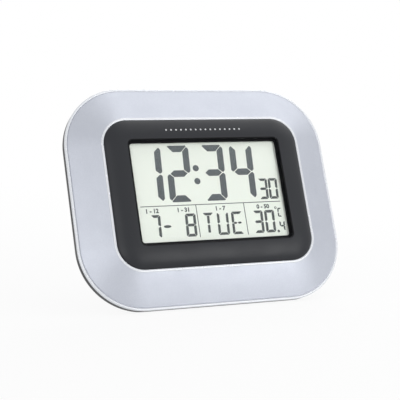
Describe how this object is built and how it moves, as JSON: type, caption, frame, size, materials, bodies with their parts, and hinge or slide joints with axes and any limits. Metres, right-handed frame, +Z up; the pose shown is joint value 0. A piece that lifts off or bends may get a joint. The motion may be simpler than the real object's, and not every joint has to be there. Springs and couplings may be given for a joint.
{
  "type": "radio-controlled digital clock",
  "caption": "Radio-controlled digital clock with a large LCD in a dark pillow bezel, broad silver frame, rear keys, battery door, hanging keyhole and fold-out stand.",
  "frame": {"origin": "centre of the standing clock's footprint box, on the table", "axes": "+Z up, -Y towards the reader of the display, +X to the reader's right"},
  "size_m": [0.225, 0.0736, 0.1694],
  "materials": {
    "silver": "fine silver metallic paint, satin",
    "bezel": "dark grey, satin",
    "case": "black, fine spark texture",
    "lens": "clear acrylic, polished",
    "lcd_glass": "display glass, smooth",
    "reflector": "pale grey-green reflector film",
    "holder": "white moulding",
    "zebra": "striped contact rubber",
    "board": "green lacquered board",
    "epoxy": "black epoxy",
    "nickel": "nickel plate",
    "steel": "zinc plated steel",
    "copper": "enamelled copper wire",
    "ferrite": "dark ground ferrite",
    "ribbon": "grey ribbon cable",
    "key": "grey silicone rubber",
    "cell": "plain sleeve, satin"
  },
  "bodies": {
    "case": {"front_frame": "silver", "inner_bezel": "bezel", "rear_case": "case", "window_lens": "lens", "lcd_front_glass": "lcd_glass", "lcd_rear_glass": "lcd_glass", "lcd_reflector": "reflector", "lcd_holder": "holder", "zebra_strip": "zebra", "main_board": "board", "driver_chip": "epoxy", "clock_crystal": "nickel", "capacitor": "epoxy", "thermistor": "epoxy", "radio_board": "board", "receiver_chip": "epoxy", "receiver_crystal": "nickel", "radio_ribbon": "ribbon", "key_ribbon": "ribbon", "ferrite_rod": "ferrite", "antenna_coil": "copper", "key_board": "board", "battery_upper": "cell", "battery_lower": "cell", "contact_bridge": "nickel", "contact_positive": "nickel", "contact_negative": "nickel", "stand_pin": "steel", "key_switch_set": "epoxy", "key_switch_plus": "epoxy", "key_switch_minus": "epoxy", "key_switch_signal": "epoxy", "case_screw_1": "steel", "bezel_screw_1": "steel", "board_screw_1": "steel", "case_screw_2": "steel", "bezel_screw_2": "steel", "board_screw_2": "steel", "case_screw_3": "steel", "bezel_screw_3": "steel", "board_screw_3": "steel", "case_screw_4": "steel", "bezel_screw_4": "steel", "board_screw_4": "steel", "holder_screw_1": "steel", "key_board_screw_1": "steel", "radio_board_screw_1": "steel", "holder_screw_2": "steel", "key_board_screw_2": "steel", "radio_board_screw_2": "steel"},
    "stand": {"stand_leg": "case"},
    "battery_door": {"battery_door": "case"},
    "button_set": {"button_set": "key"},
    "button_plus": {"button_plus": "key"},
    "button_minus": {"button_minus": "key"},
    "button_signal": {"button_signal": "key"}
  },
  "joints": [
    {"name": "stand_fold", "type": "hinge", "parent": "case", "child": "stand", "pos_m": [0, 0.00326, 0.07644], "axis": [-1, 0, 0], "range_deg": [0, 36.3]},
    {"name": "battery_door_open", "type": "hinge", "parent": "case", "child": "battery_door", "pos_m": [0, 0.01126, 0.08813], "axis": [-1, 0, 0], "range_deg": [0, 75]},
    {"name": "button_set_press", "type": "slide", "parent": "case", "child": "button_set", "axis": [0, -0.9317, 0.3633], "range_m": [0, 0.0008], "stiffness_N_per_m": 400, "springref_m": -0.0006},
    {"name": "button_plus_press", "type": "slide", "parent": "case", "child": "button_plus", "axis": [0, -0.9317, 0.3633], "range_m": [0, 0.0008], "stiffness_N_per_m": 400, "springref_m": -0.0006},
    {"name": "button_minus_press", "type": "slide", "parent": "case", "child": "button_minus", "axis": [0, -0.9317, 0.3633], "range_m": [0, 0.0008], "stiffness_N_per_m": 400, "springref_m": -0.0006},
    {"name": "button_signal_press", "type": "slide", "parent": "case", "child": "button_signal", "axis": [0, -0.9317, 0.3633], "range_m": [0, 0.0008], "stiffness_N_per_m": 400, "springref_m": -0.0006}
  ]
}
